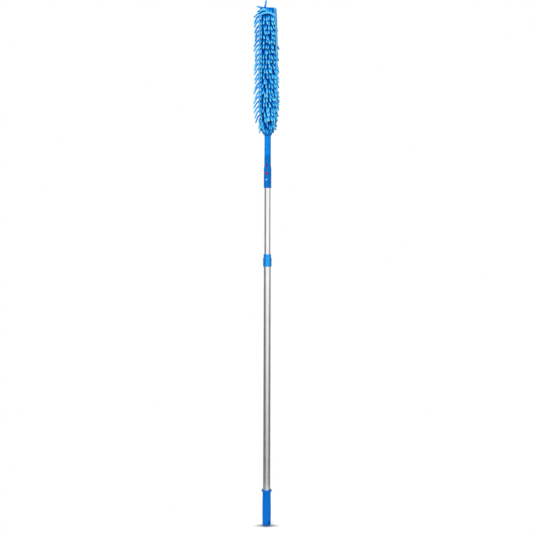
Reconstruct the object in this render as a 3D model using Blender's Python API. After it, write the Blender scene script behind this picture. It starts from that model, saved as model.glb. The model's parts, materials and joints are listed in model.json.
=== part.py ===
"""Chenille duster on a two-stage telescopic pole, in metres, +Z up the pole.

The origin is the middle of the grip's flat end. The pole's own pieces are turned about Z.
The head faces HEAD_TURN, and its pieces are built facing -Y under an empty that turns them.
Heights are measured up the pole from the origin.
"""

import math

import bmesh
import bpy
from mathutils import Vector

GAP = 0.0003  # between pieces that touch
ROUND = 48  # sides of a turned piece
FINE_ROUND = 24  # sides of a small turned piece

HEAD_TURN = math.radians(-45)  # the way the head's broad side faces
BUTTON_TURN = math.radians(-17)  # the line of buttons, from the head's broad side

# Grip
GRIP_LENGTH = 0.129
GRIP_WAIST_HEIGHT = 0.052
GRIP_RADIUS = 0.0154
GRIP_TAPER = 0.0010
GRIP_RIM_RADIUS = 0.01775
GRIP_RIM_HEIGHT = 0.0045
GRIP_RIM_FILLET = 0.0040
GRIP_FLOOR = 0.022
HANGING_HOLE_HEIGHT = 0.012
HANGING_HOLE_RADIUS = 0.005

# Pole
LOWER_TUBE_RADIUS = 0.0125
LOWER_TUBE_WALL = 0.0012
LOWER_TUBE_TOP = 0.938
UPPER_TUBE_RADIUS = 0.011
UPPER_TUBE_WALL = 0.0010
UPPER_TUBE_FOOT = 0.394
UPPER_TUBE_TOP = 1.244
COLLAR_FOOT = 0.917
COLLAR_STEP = 0.9472
COLLAR_TOP = 0.9595
COLLAR_RADIUS = 0.0148
COLLAR_NOSE_RADIUS = 0.01295
GUIDE_RING_HEIGHT = 0.0074

# Twist lock, between the foot of the upper tube and the bore of the lower one
CAM_OFFSET = 0.0009
CAM_SPINDLE_RADIUS = 0.0052
CAM_RING_BORE = 0.0064
CAM_RING_FOOT = 0.3614
CAM_RING_TOP = 0.3876
CAM_SLIT = 0.0025

# Socket of the head, with its buttons
SOCKET_FOOT = 1.1835
SOCKET_TOP = 1.294
SOCKET_RADIUS = 0.0127
SOCKET_NECK_RADIUS = 0.011
SOCKET_SHOULDER = 1.245
SOCKET_SHOULDER_TOP = 1.262
SOCKET_WEB_TOP = 1.250
STUD_HEIGHT = 1.2114
STUD_RADIUS = 0.0027
POLE_BUTTON_HEIGHT = 1.2325
POLE_BUTTON_RADIUS = 0.0042
NECK_BUTTON_HEIGHT = 1.259
NECK_BUTTON_HALF_WIDTH = 0.0028
NECK_BUTTON_HALF_HEIGHT = 0.0042
STEM_RADIUS = 0.008
STEM_BORE = 0.0058
STEM_HOLLOW_TOP = 1.282
STEM_TOP = 1.3037

# Flexible neck
NECK_RADIUS = 0.011
NECK_GROOVE = 0.0010
NECK_TOP = 1.385
NECK_PIVOT = 1.338
NECK_RIBS = 13
NECK_BORE = 0.0036
SPIGOT_DEPTH = 0.010  # how far the ferrule plugs into the neck
WIRE_RADIUS = 0.0010
WIRE_OFFSET = 0.0020
WIRE_FOOT = 1.292
WIRE_TOP = 1.3885

# Wand inside the sleeve
FERRULE_RADIUS = 0.0105
FERRULE_TOP = 1.4035
PADDLE_HALF_WIDTH = 0.024
PADDLE_HALF_THICKNESS = 0.003
PADDLE_TANG_HALF_WIDTH = 0.007
PADDLE_SLOT_FOOT = 1.390
PADDLE_BODY_FOOT = 1.412
PADDLE_TOP = 1.762
PADDLE_WINDOWS = 8
PADDLE_RAIL = 0.0065
PADDLE_RUNG = 0.005

# Sleeve
SLEEVE_MOUTH = 1.360
SLEEVE_BODY_FOOT = 1.404
POCKET_TOP = 1.768
SLEEVE_TOP = 1.779
POCKET_HALF_WIDTH = 0.0285
POCKET_HALF_THICKNESS = 0.009
POCKET_WALL = 0.0012
POCKET_SQUARENESS = 4  # exponent of the pocket's rounded outline, where 2 is an ellipse
PILE_HALF_WIDTH = 0.040
PILE_HALF_THICKNESS = 0.025
PILE_SQUARENESS = 2.6
PILE_CROWN = 0.016  # height over which the pile rounds off at the top
CUFF_SQUARENESS = 2.2
SEAM_HALF_THICKNESS = 0.0015
OUTLINE_SIDES = 48

BLUE_PLASTIC = ("blue_plastic", (0.004, 0.16, 0.62, 1), 0.38, 0.0)
GRIP_PLASTIC = ("grip_plastic", (0.002, 0.13, 0.58, 1), 0.45, 0.0)
NECK_RUBBER = ("neck_rubber", (0.005, 0.25, 0.78, 1), 0.5, 0.0)
RED_PLASTIC = ("red_plastic", (0.5, 0.005, 0.012, 1), 0.35, 0.0)
PALE_BLUE_PLASTIC = ("pale_blue_plastic", (0.22, 0.6, 0.9, 1), 0.4, 0.0)
WHITE_NYLON = ("white_nylon", (0.75, 0.75, 0.72, 1), 0.5, 0.0)
GREY_NYLON = ("grey_nylon", (0.2, 0.2, 0.21, 1), 0.5, 0.0)
ALUMINIUM = ("aluminium", (0.72, 0.73, 0.74, 1), 0.3, 1.0)
SPRING_STEEL = ("spring_steel", (0.55, 0.55, 0.56, 1), 0.25, 1.0)
KNITTED_BACKING = ("knitted_backing", (0.03, 0.2, 0.6, 1), 0.9, 0.0)
CHENILLE = ("chenille", (0.03, 0.22, 0.7, 1), 0.95, 0.0)
SEAM_TAPE = ("seam_tape", (0.12, 0.4, 0.8, 1), 0.85, 0.0)


# --- Building blocks -------------------------------------------------------------------


def clear_scene():
    for old in list(bpy.data.objects):
        bpy.data.objects.remove(old)


def make_material(name, colour, roughness, metallic):
    found = bpy.data.materials.get(name)
    if found:
        return found
    made = bpy.data.materials.new(name)
    made.use_nodes = True
    shader = made.node_tree.nodes["Principled BSDF"]
    shader.inputs["Base Color"].default_value = colour
    shader.inputs["Roughness"].default_value = roughness
    shader.inputs["Metallic"].default_value = metallic
    return made


def make_empty(name, parent=None, height=0.0, turn=0.0):
    """An empty on the pole's axis, at a height up the pole, turned about Z from its parent."""
    empty = bpy.data.objects.new(name, None)
    bpy.context.scene.collection.objects.link(empty)
    empty["height"] = height
    attach(empty, parent)
    empty.location.z += height
    empty.rotation_euler.z = turn
    return empty


def attach(obj, parent):
    """Parents obj, whose own coordinates stay heights up the pole."""
    if parent is None:
        return
    obj.parent = parent
    obj.location.z = -parent["height"]


def skin(name, rings, surface, parent=None, hollow=False):
    """One closed body through rings of points; a hollow one closes on itself, others have flat ends."""
    bm = bmesh.new()
    loops = [[bm.verts.new(point) for point in ring] for ring in rings]
    pairs = list(zip(loops, loops[1:]))
    if hollow:
        pairs.append((loops[-1], loops[0]))
    else:
        bm.faces.new(loops[0])
        bm.faces.new(loops[-1])
    for low, high in pairs:
        count = len(low)
        for i in range(count):
            j = (i + 1) % count
            bm.faces.new((low[i], low[j], high[j], high[i]))
    bmesh.ops.recalc_face_normals(bm, faces=bm.faces)
    mesh = bpy.data.meshes.new(name)
    bm.to_mesh(mesh)
    bm.free()
    mesh.shade_smooth()
    mesh.set_sharp_from_angle(angle=math.radians(35))
    mesh.materials.append(make_material(*surface))
    obj = bpy.data.objects.new(name, mesh)
    bpy.context.scene.collection.objects.link(obj)
    attach(obj, parent)
    return obj


def circle(radius, height, sides=ROUND, x=0.0):
    """A level ring round the pole's axis, or round a line beside it."""
    steps = [2 * math.pi * i / sides for i in range(sides)]
    return [(x + radius * math.cos(a), radius * math.sin(a), height) for a in steps]


def turned(name, profile, surface, parent=None, hollow=False, sides=ROUND, x=0.0):
    """A turned piece; the profile is (radius, height) points along its section."""
    rings = [circle(radius, height, sides, x) for radius, height in profile]
    return skin(name, rings, surface, parent, hollow)


def rounded_outline(half_width, half_thickness, height, power):
    """A level superellipse, from a plain ellipse at power 2 towards a rectangle."""
    points = []
    for i in range(OUTLINE_SIDES):
        a = 2 * math.pi * (i + 0.5) / OUTLINE_SIDES
        x = math.copysign(abs(math.cos(a)) ** (2 / power), math.cos(a))
        y = math.copysign(abs(math.sin(a)) ** (2 / power), math.sin(a))
        points.append((half_width * x, half_thickness * y, height))
    return points


def stadium(half_width, half_height, height, reach, sides=FINE_ROUND):
    """An upright oblong ring that faces -Y, reach away from the axis; a circle if both halves agree."""
    straight = half_height - half_width
    points = []
    for i in range(sides):
        a = 2 * math.pi * (i + 0.5) / sides
        lift = math.copysign(straight, math.sin(a))
        z = height + lift + half_width * math.sin(a)
        points.append((half_width * math.cos(a), -reach, z))
    return points


def radial_pin(name, half_width, half_height, height, steps, surface, parent):
    """A pin or button that points along -Y; each step is (reach from the axis, extra half width)."""
    rings = [stadium(half_width + grow, half_height + grow, height, reach) for reach, grow in steps]
    return skin(name, rings, surface, parent)


def radial_cutter(name, half_width, half_height, height, parent, inner=0.005, outer=0.017):
    """Cuts the hole for a pin, with its clearance."""
    steps = [(inner, GAP), (outer, GAP)]
    return radial_pin(name, half_width, half_height, height, steps, WHITE_NYLON, parent)


def box(name, low, high, surface, parent=None):
    (x0, y0, z0), (x1, y1, z1) = low, high
    rings = [[(x0, y0, z), (x1, y0, z), (x1, y1, z), (x0, y1, z)] for z in (z0, z1)]
    return skin(name, rings, surface, parent)


def ribbon(name, path, half_width, thickness, surface, parent):
    """A bent strip; the path is (reach towards -Y, height) points along its middle."""
    rings = []
    for i, (reach, height) in enumerate(path):
        before, after = path[max(i - 1, 0)], path[min(i + 1, len(path) - 1)]
        along = Vector((after[0] - before[0], after[1] - before[1])).normalized()
        side = Vector((-along.y, along.x)) * thickness / 2
        near, far = (reach - side.x, height - side.y), (reach + side.x, height + side.y)
        corners = [(-half_width, near), (half_width, near), (half_width, far), (-half_width, far)]
        rings.append([(x, -point[0], point[1]) for x, point in corners])
    return skin(name, rings, surface, parent)


def arc(centre_a, centre_b, radius, start, end, steps):
    """Points of an arc in a section plane, angles in degrees."""
    turns = [math.radians(start + (end - start) * i / steps) for i in range(steps + 1)]
    return [(centre_a + radius * math.cos(a), centre_b + radius * math.sin(a)) for a in turns]


def cut(obj, cutter):
    """Takes the cutter out of obj and keeps the cutter as a hidden guide."""
    modifier = obj.modifiers.new(cutter.name, "BOOLEAN")
    modifier.operation = "DIFFERENCE"
    modifier.solver = "EXACT"
    modifier.object = cutter
    cutter.hide_render = True
    cutter.display_type = "WIRE"


# --- Pole ------------------------------------------------------------------------------


def grip_radius(height):
    """The grip swells to its waist and narrows to both ends."""
    reach = GRIP_WAIST_HEIGHT if height < GRIP_WAIST_HEIGHT else GRIP_LENGTH / 2
    return GRIP_RADIUS - GRIP_TAPER * ((height - GRIP_WAIST_HEIGHT) / reach) ** 2


def build_grip():
    """A turned handle with a round heel, a flared rim and a blind bore for the lower tube."""
    corner, edge = 0.0055, 0.0008
    body_foot, body_top, body_steps = 0.008, 0.119, 12
    body = [body_foot + (body_top - body_foot) * i / body_steps for i in range(body_steps + 1)]
    bore = LOWER_TUBE_RADIUS + GAP
    rim, rim_foot = GRIP_RIM_RADIUS, GRIP_LENGTH - GRIP_RIM_HEIGHT
    fillet = GRIP_RIM_FILLET
    profile = arc(grip_radius(corner) - corner, corner, corner, -90, -5, 6)
    profile += [(grip_radius(height), height) for height in body]
    profile += arc(rim + 0.1 * fillet, rim_foot - 1.175 * fillet, fillet, 165, 100, 4)
    profile += [(rim, rim_foot), (rim, GRIP_LENGTH - edge), (rim - edge, GRIP_LENGTH)]
    profile += [(bore + edge, GRIP_LENGTH), (bore, GRIP_LENGTH - edge), (bore, GRIP_FLOOR)]
    grip = turned("grip", profile, GRIP_PLASTIC)

    radius = HANGING_HOLE_RADIUS
    edge, beyond, flare = 0.0135, 0.0165, 0.0015
    steps = [(-beyond, flare), (-edge, 0), (edge, 0), (beyond, flare)]
    hole = radial_pin(
        "grip_hole_cutter", radius, radius, HANGING_HOLE_HEIGHT, steps, GRIP_PLASTIC, None
    )
    cut(grip, hole)


def tube_profile(radius, wall, foot, top):
    """Section of a plain round tube."""
    return [(radius, foot), (radius, top), (radius - wall, top), (radius - wall, foot)]


def build_lower_tube():
    profile = tube_profile(LOWER_TUBE_RADIUS, LOWER_TUBE_WALL, GRIP_FLOOR + GAP, LOWER_TUBE_TOP)
    turned("lower_tube", profile, ALUMINIUM, hollow=True)


def build_lock_collar():
    """A barrel over the end of the lower tube and a slimmer nose round the upper one."""
    edge = 0.0008
    nose_bore = UPPER_TUBE_RADIUS + GAP
    barrel_bore = LOWER_TUBE_RADIUS + GAP
    ceiling = LOWER_TUBE_TOP + GUIDE_RING_HEIGHT + 2 * GAP
    profile = [
        (COLLAR_RADIUS - edge, COLLAR_FOOT),
        (COLLAR_RADIUS, COLLAR_FOOT + edge),
        (COLLAR_RADIUS, COLLAR_STEP - edge),
        (COLLAR_RADIUS - edge, COLLAR_STEP),
        (COLLAR_NOSE_RADIUS, COLLAR_STEP),
        (COLLAR_NOSE_RADIUS, COLLAR_TOP - edge),
        (COLLAR_NOSE_RADIUS - edge, COLLAR_TOP),
        (nose_bore, COLLAR_TOP),
        (nose_bore, ceiling),
        (barrel_bore, ceiling),
        (barrel_bore, COLLAR_FOOT),
    ]
    turned("lock_collar", profile, BLUE_PLASTIC, hollow=True)


def build_guide_ring():
    foot = LOWER_TUBE_TOP + GAP
    wall = LOWER_TUBE_RADIUS - UPPER_TUBE_RADIUS - GAP
    profile = tube_profile(LOWER_TUBE_RADIUS, wall, foot, foot + GUIDE_RING_HEIGHT)
    turned("guide_ring", profile, WHITE_NYLON, hollow=True)


def build_cam_ring(slide):
    """A split ring round the eccentric spindle; it spreads against the lower tube."""
    outer = LOWER_TUBE_RADIUS - LOWER_TUBE_WALL - GAP
    edge = 0.0008
    profile = [
        (CAM_RING_BORE, CAM_RING_FOOT),
        (outer - edge, CAM_RING_FOOT),
        (outer, CAM_RING_FOOT + edge),
        (outer, CAM_RING_TOP - edge),
        (outer - edge, CAM_RING_TOP),
        (CAM_RING_BORE, CAM_RING_TOP),
    ]
    ring = turned("cam_ring", profile, WHITE_NYLON, slide, hollow=True)
    beyond = 0.003
    low = (CAM_RING_BORE - beyond, -CAM_SLIT / 2, CAM_RING_FOOT - beyond)
    high = (outer + beyond, CAM_SLIT / 2, CAM_RING_TOP + beyond)
    cut(ring, box("cam_slit_cutter", low, high, WHITE_NYLON, slide))


def build_cam_plug(pole_top):
    """The plug in the foot of the upper tube, its eccentric spindle and the head below the ring."""
    inside = UPPER_TUBE_RADIUS - UPPER_TUBE_WALL - GAP
    head_radius, flange_radius = 0.0095, 0.0109
    head_foot, plug_top = 0.3560, 0.4240
    head_top = CAM_RING_FOOT - GAP
    flange_foot = CAM_RING_TOP + GAP
    flange_top = UPPER_TUBE_FOOT - GAP
    edge, sides = 0.0012, 32
    first_groove, groove_pitch, groove_width, groove_depth = 0.007, 0.009, 0.003, 0.0006
    sections = [
        (head_radius - edge, head_foot, 0),
        (head_radius, head_foot + edge, 0),
        (head_radius, head_top, 0),
        (CAM_SPINDLE_RADIUS, head_top, CAM_OFFSET),
        (CAM_SPINDLE_RADIUS, flange_foot, CAM_OFFSET),
        (flange_radius, flange_foot, 0),
        (flange_radius, flange_top, 0),
        (inside, flange_top, 0),
    ]
    for i in range(2):
        foot = flange_top + first_groove + groove_pitch * i
        sections.append((inside, foot, 0))
        sections.append((inside - groove_depth, foot, 0))
        sections.append((inside - groove_depth, foot + groove_width, 0))
        sections.append((inside, foot + groove_width, 0))
    sections.append((inside, plug_top - edge, 0))
    sections.append((inside - edge, plug_top, 0))
    rings = [circle(radius, height, sides, offset) for radius, height, offset in sections]
    skin("cam_plug", rings, GREY_NYLON, pole_top)


def build_upper_tube(pole_top, button_line):
    profile = tube_profile(UPPER_TUBE_RADIUS, UPPER_TUBE_WALL, UPPER_TUBE_FOOT, UPPER_TUBE_TOP)
    tube = turned("upper_tube", profile, ALUMINIUM, pole_top, hollow=True)
    cut(tube, pole_button_cutter("tube_button_cutter", button_line))
    cut(tube, stud_cutter("tube_stud_cutter", button_line))


# --- Socket and buttons ----------------------------------------------------------------


def pole_button_cutter(name, button_line):
    radius = POLE_BUTTON_RADIUS
    return radial_cutter(name, radius, radius, POLE_BUTTON_HEIGHT, button_line)


def stud_cutter(name, button_line):
    return radial_cutter(name, STUD_RADIUS, STUD_RADIUS, STUD_HEIGHT, button_line)


def neck_button_cutter(name, button_line):
    inner = STEM_BORE / 2
    return radial_cutter(
        name, NECK_BUTTON_HALF_WIDTH, NECK_BUTTON_HALF_HEIGHT, NECK_BUTTON_HEIGHT, button_line, inner
    )


def build_wand_socket(pole_top, button_line):
    """A two-way socket: the upper tube from below and the neck's stem from above, with a web between."""
    edge = 0.0007
    tube_bore = UPPER_TUBE_RADIUS + GAP
    stem_bore = STEM_RADIUS + GAP
    profile = [
        (tube_bore, UPPER_TUBE_TOP + GAP),
        (tube_bore, SOCKET_FOOT),
        (SOCKET_RADIUS - edge, SOCKET_FOOT),
        (SOCKET_RADIUS, SOCKET_FOOT + edge),
        (SOCKET_RADIUS, SOCKET_SHOULDER),
        (SOCKET_NECK_RADIUS, SOCKET_SHOULDER_TOP),
        (SOCKET_NECK_RADIUS, SOCKET_TOP - edge),
        (SOCKET_NECK_RADIUS - edge, SOCKET_TOP),
        (stem_bore, SOCKET_TOP),
        (stem_bore, SOCKET_WEB_TOP),
    ]
    socket = turned("wand_socket", profile, BLUE_PLASTIC, pole_top)
    cut(socket, pole_button_cutter("socket_button_cutter", button_line))
    cut(socket, stud_cutter("socket_stud_cutter", button_line))
    cut(socket, neck_button_cutter("socket_neck_button_cutter", button_line))


def build_stud(button_line):
    """Pressed through the socket and the tube, it keeps the head from turning on the pole."""
    steps = [(0.0090, 0), (0.0128, 0), (0.0131, -0.0005)]
    radial_pin(
        "key_stud", STUD_RADIUS, STUD_RADIUS, STUD_HEIGHT, steps, PALE_BLUE_PLASTIC, button_line
    )


def build_pole_button(button_line):
    """A round push button with a flange inside the tube, and the leaf spring behind it."""
    radius, height = POLE_BUTTON_RADIUS, POLE_BUTTON_HEIGHT
    back, flange_front, flange = 0.0070, 0.0082, 0.0010
    dome = [(0.0129, 0), (0.0133, -0.0005), (0.0136, -0.0016)]
    steps = [(back, flange), (flange_front, flange), (flange_front, 0)] + dome
    radial_pin("pole_button", radius, radius, height, steps, RED_PLASTIC, button_line)

    leaf, far_leaf = 0.0064, -0.0092
    half_width, thickness = 0.003, 0.0005
    bend_radius, bend_height = 0.0035, height - 0.042
    path = [(leaf, height + radius), (leaf, height - radius), (0.0010, bend_height + 0.0135)]
    path += arc(far_leaf + bend_radius, bend_height, bend_radius, 0, -180, 8)
    path += [(far_leaf, bend_height + 0.0315)]
    ribbon("pole_button_spring", path, half_width, thickness, SPRING_STEEL, button_line)


def build_neck_button(button_line):
    """An oblong push button through the socket's shoulder and the stem, with its leaf spring."""
    half_width, half_height, height = NECK_BUTTON_HALF_WIDTH, NECK_BUTTON_HALF_HEIGHT, NECK_BUTTON_HEIGHT
    back, flange_front, flange = 0.0030, 0.0042, 0.0008
    dome = [(0.0118, 0), (0.0122, -0.0004), (0.0124, -0.0012)]
    steps = [(back, flange), (flange_front, flange), (flange_front, 0)] + dome
    radial_pin("neck_button", half_width, half_height, height, steps, RED_PLASTIC, button_line)

    leaf, far_leaf = 0.0024, -0.0046
    leaf_half_width, thickness = 0.002, 0.0004
    bend_radius, bend_height = 0.0022, height + 0.013
    path = [(leaf, height - half_height), (leaf, height + half_height)]
    path += arc(far_leaf + bend_radius, bend_height, bend_radius, 0, 180, 8)
    path += [(far_leaf, height - 0.003)]
    ribbon("neck_button_spring", path, leaf_half_width, thickness, SPRING_STEEL, button_line)


def wire_pocket(name, side, foot, top, parent):
    """Cuts the pocket that one end of a core wire is moulded in."""
    profile = [(WIRE_RADIUS + GAP, foot), (WIRE_RADIUS + GAP, top)]
    return turned(name, profile, SPRING_STEEL, parent, sides=12, x=side * WIRE_OFFSET)


def build_neck_stem(head, button_line):
    """The stem plugs into the socket; it is hollow round its button and solid round the wires."""
    foot, edge = SOCKET_WEB_TOP + GAP, 0.0006
    profile = [
        (STEM_BORE, STEM_HOLLOW_TOP),
        (STEM_BORE, foot),
        (STEM_RADIUS - edge, foot),
        (STEM_RADIUS, foot + edge),
        (STEM_RADIUS, STEM_TOP),
    ]
    stem = turned("neck_stem", profile, BLUE_PLASTIC, head)
    cut(stem, neck_button_cutter("stem_button_cutter", button_line))
    pocket_foot, pocket_top = WIRE_FOOT - GAP, STEM_TOP + 0.002
    for word, side in (("left", -1), ("right", 1)):
        cut(stem, wire_pocket(f"stem_wire_{word}_cutter", side, pocket_foot, pocket_top, head))


# --- Neck and wand ---------------------------------------------------------------------


def build_flexible_neck(head):
    """A ribbed hose with a narrow core bore; each end fits over a spigot."""
    foot = SOCKET_TOP + GAP
    pitch = (NECK_TOP - foot) / NECK_RIBS
    slope, sides = 0.25 * pitch, 28
    end_bore = STEM_RADIUS + GAP
    profile = []
    for i in range(NECK_RIBS):
        start = foot + pitch * i
        profile.append((NECK_RADIUS - NECK_GROOVE, start))
        profile.append((NECK_RADIUS, start + slope))
        profile.append((NECK_RADIUS, start + pitch - slope))
    profile += [
        (NECK_RADIUS - NECK_GROOVE, NECK_TOP),
        (end_bore, NECK_TOP),
        (end_bore, NECK_TOP - SPIGOT_DEPTH),
        (NECK_BORE, NECK_TOP - SPIGOT_DEPTH),
        (NECK_BORE, STEM_TOP + GAP),
        (end_bore, STEM_TOP + GAP),
        (end_bore, foot),
    ]
    turned("flexible_neck", profile, NECK_RUBBER, head, hollow=True, sides=sides)


def build_core_wires(head):
    """Two soft steel wires that hold the neck's bend."""
    profile = [(WIRE_RADIUS, WIRE_FOOT), (WIRE_RADIUS, WIRE_TOP)]
    for word, side in (("left", -1), ("right", 1)):
        turned(
            f"core_wire_{word}", profile, SPRING_STEEL, head, sides=12, x=side * WIRE_OFFSET
        )


def build_neck_ferrule(wand):
    """The spigot in the top of the neck, with a slot for the paddle's tang."""
    foot = NECK_TOP - SPIGOT_DEPTH + GAP
    shoulder = NECK_TOP + GAP
    edge, beyond = 0.0015, 0.002
    profile = [
        (STEM_RADIUS, foot),
        (STEM_RADIUS, shoulder),
        (FERRULE_RADIUS, shoulder),
        (FERRULE_RADIUS, FERRULE_TOP - edge),
        (FERRULE_RADIUS - edge, FERRULE_TOP),
    ]
    ferrule = turned("neck_ferrule", profile, BLUE_PLASTIC, wand)
    across, through = PADDLE_TANG_HALF_WIDTH + GAP, PADDLE_HALF_THICKNESS + GAP
    low = (-across, -through, PADDLE_SLOT_FOOT)
    high = (across, through, FERRULE_TOP + beyond)
    cut(ferrule, box("tang_slot_cutter", low, high, BLUE_PLASTIC, wand))
    for word, side in (("left", -1), ("right", 1)):
        cutter = wire_pocket(f"ferrule_wire_{word}_cutter", side, foot - beyond, WIRE_TOP + GAP, wand)
        cut(ferrule, cutter)


def slab(name, outline, half_thickness, surface, parent):
    """A flat upright piece; the outline is (x, height) points round its broad side."""
    rings = [[(x, y, z) for x, z in outline] for y in (-half_thickness, half_thickness)]
    return skin(name, rings, surface, parent)


def build_wand_paddle(wand):
    """A flat ladder frame that fills the sleeve, with a tang for the ferrule."""
    wide, tang = PADDLE_HALF_WIDTH, PADDLE_TANG_HALF_WIDTH
    foot, tang_top = PADDLE_SLOT_FOOT + GAP, PADDLE_BODY_FOOT - 0.004
    shoulder = PADDLE_BODY_FOOT + 0.012
    corner = 0.014
    slope = (tang + 0.6 * (wide - tang), PADDLE_BODY_FOOT + 0.003)
    half = [(tang, foot), (tang, tang_top), slope, (wide, shoulder)]
    half += arc(wide - corner, PADDLE_TOP - corner, corner, 0, 90, 8)
    outline = half + [(-x, z) for x, z in reversed(half)]
    paddle = slab("wand_paddle", outline, PADDLE_HALF_THICKNESS, BLUE_PLASTIC, wand)

    inside = wide - PADDLE_RAIL
    low, high = shoulder + 0.002, PADDLE_TOP - 0.009
    pitch = (high - low) / PADDLE_WINDOWS
    nip = 0.004
    for i in range(PADDLE_WINDOWS):
        foot = low + pitch * i + PADDLE_RUNG / 2
        top = foot + pitch - PADDLE_RUNG
        side = [(inside - nip, foot), (inside, foot + nip), (inside, top - nip), (inside - nip, top)]
        window = side + [(-x, z) for x, z in reversed(side)]
        cutter = slab(
            f"paddle_window_{i + 1}_cutter", window, 2 * PADDLE_HALF_THICKNESS, BLUE_PLASTIC, wand
        )
        cut(paddle, cutter)


# --- Sleeve ----------------------------------------------------------------------------


def pocket_outline(grow, height):
    """Section of the knitted pocket, grown or shrunk."""
    half_width, half_thickness = POCKET_HALF_WIDTH + grow, POCKET_HALF_THICKNESS + grow
    return rounded_outline(half_width, half_thickness, height, POCKET_SQUARENESS)


def build_backing(sleeve):
    """The knitted pocket that slips over the wand, closed at the top."""
    foot = SLEEVE_BODY_FOOT + GAP
    rings = [
        pocket_outline(-POCKET_WALL, POCKET_TOP - POCKET_WALL),
        pocket_outline(-POCKET_WALL, foot),
        pocket_outline(0, foot),
        pocket_outline(0, POCKET_TOP),
    ]
    skin("sleeve_backing", rings, KNITTED_BACKING, sleeve)


def pile_levels():
    """(height, inset) pairs: the pile's outline is inset at both ends of the sleeve."""
    foot = SLEEVE_BODY_FOOT + GAP
    levels = [(foot, 0.003), (foot + 0.012, 0.001), (foot + 0.030, 0)]
    last_turn, steps = math.radians(80), 5
    for i in range(steps + 1):
        a = last_turn * i / steps
        height = SLEEVE_TOP - PILE_CROWN + PILE_CROWN * math.sin(a) / math.sin(last_turn)
        levels.append((height, 0.9 * PILE_CROWN * (1 - math.cos(a))))
    return levels


def build_pile(sleeve):
    """The chenille of the front and the back panel, either side of the seam."""
    split = SEAM_HALF_THICKNESS + GAP
    for word, side in (("front", 1), ("back", -1)):
        rings = []
        for height, inset in pile_levels():
            whole = rounded_outline(
                PILE_HALF_WIDTH - inset, PILE_HALF_THICKNESS - inset, height, PILE_SQUARENESS
            )
            half = [(x, min(y, -split), z) for x, y, z in whole[OUTLINE_SIDES // 2:]]
            rings.append([(x * side, y * side, z) for x, y, z in half])
        pile = skin(f"pile_{word}", rings, CHENILLE, sleeve)
        foot, top = SLEEVE_BODY_FOOT - 0.004, POCKET_TOP + GAP
        bore = [pocket_outline(GAP, foot), pocket_outline(GAP, top)]
        cut(pile, skin(f"pile_{word}_cutter", bore, CHENILLE, sleeve))


def build_seam(sleeve):
    """The bound seam that joins the panels: up one side, over the top and down the other."""
    inner = POCKET_HALF_WIDTH + 2 * GAP
    outer = PILE_HALF_WIDTH - 0.0006
    foot = SLEEVE_BODY_FOOT + 2 * GAP
    top = SLEEVE_TOP - 0.0015
    corner = 0.013
    half = [(inner, POCKET_TOP + 2 * GAP), (inner, foot), (outer - 0.003, foot), (outer, foot + 0.03)]
    half += arc(outer - corner, top - corner, corner, 0, 80, 5)
    outline = [(-x, z) for x, z in reversed(half)] + half
    slab("seam_binding", outline, SEAM_HALF_THICKNESS, SEAM_TAPE, sleeve)


def build_cuff(sleeve):
    """The gathered elastic mouth of the sleeve, round the neck and the ferrule."""
    bore = NECK_RADIUS + GAP
    rise = SLEEVE_BODY_FOOT - SLEEVE_MOUTH
    spread = [(0, 0.0130, 0.0130), (0.23, 0.0165, 0.0150), (0.64, 0.0290, 0.0200), (1, 0.0365, 0.0225)]
    rings = []
    for share, half_width, half_thickness in spread:
        height = SLEEVE_MOUTH + share * rise
        rings.append(rounded_outline(half_width, half_thickness, height, CUFF_SQUARENESS))
    rings.append(rounded_outline(bore, bore, SLEEVE_BODY_FOOT, 2))
    rings.append(rounded_outline(bore, bore, SLEEVE_MOUTH, 2))
    skin("sleeve_cuff", rings, CHENILLE, sleeve, hollow=True)


def build_duster():
    clear_scene()
    build_grip()
    build_lower_tube()
    build_lock_collar()
    build_guide_ring()

    slide = make_empty("telescope_slide", height=CAM_RING_FOOT)
    build_cam_ring(slide)
    pole_top = make_empty("pole_top", slide, height=0)
    build_cam_plug(pole_top)

    head = make_empty("head", pole_top, turn=HEAD_TURN)
    button_line = make_empty("button_line", head, turn=BUTTON_TURN)
    build_upper_tube(pole_top, button_line)
    build_wand_socket(pole_top, button_line)
    build_stud(button_line)
    build_pole_button(button_line)
    build_neck_button(button_line)
    build_neck_stem(head, button_line)
    build_flexible_neck(head)
    build_core_wires(head)

    wand = make_empty("neck_pivot", head, height=NECK_PIVOT)
    build_neck_ferrule(wand)
    build_wand_paddle(wand)
    sleeve = make_empty("sleeve_slide", wand, height=SLEEVE_BODY_FOOT)
    build_backing(sleeve)
    build_pile(sleeve)
    build_seam(sleeve)
    build_cuff(sleeve)


build_duster()
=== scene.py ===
"""Looks of the telescopic chenille duster, in metres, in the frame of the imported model.

The sleeve is built facing -Y and then turned with the head. In the head's own frame, x runs
across the broad side, y through the sleeve, with the front at -y, and z up the pole.
"""

import json
import math
import random

import bmesh
import bpy
from mathutils import Matrix, Vector


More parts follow.
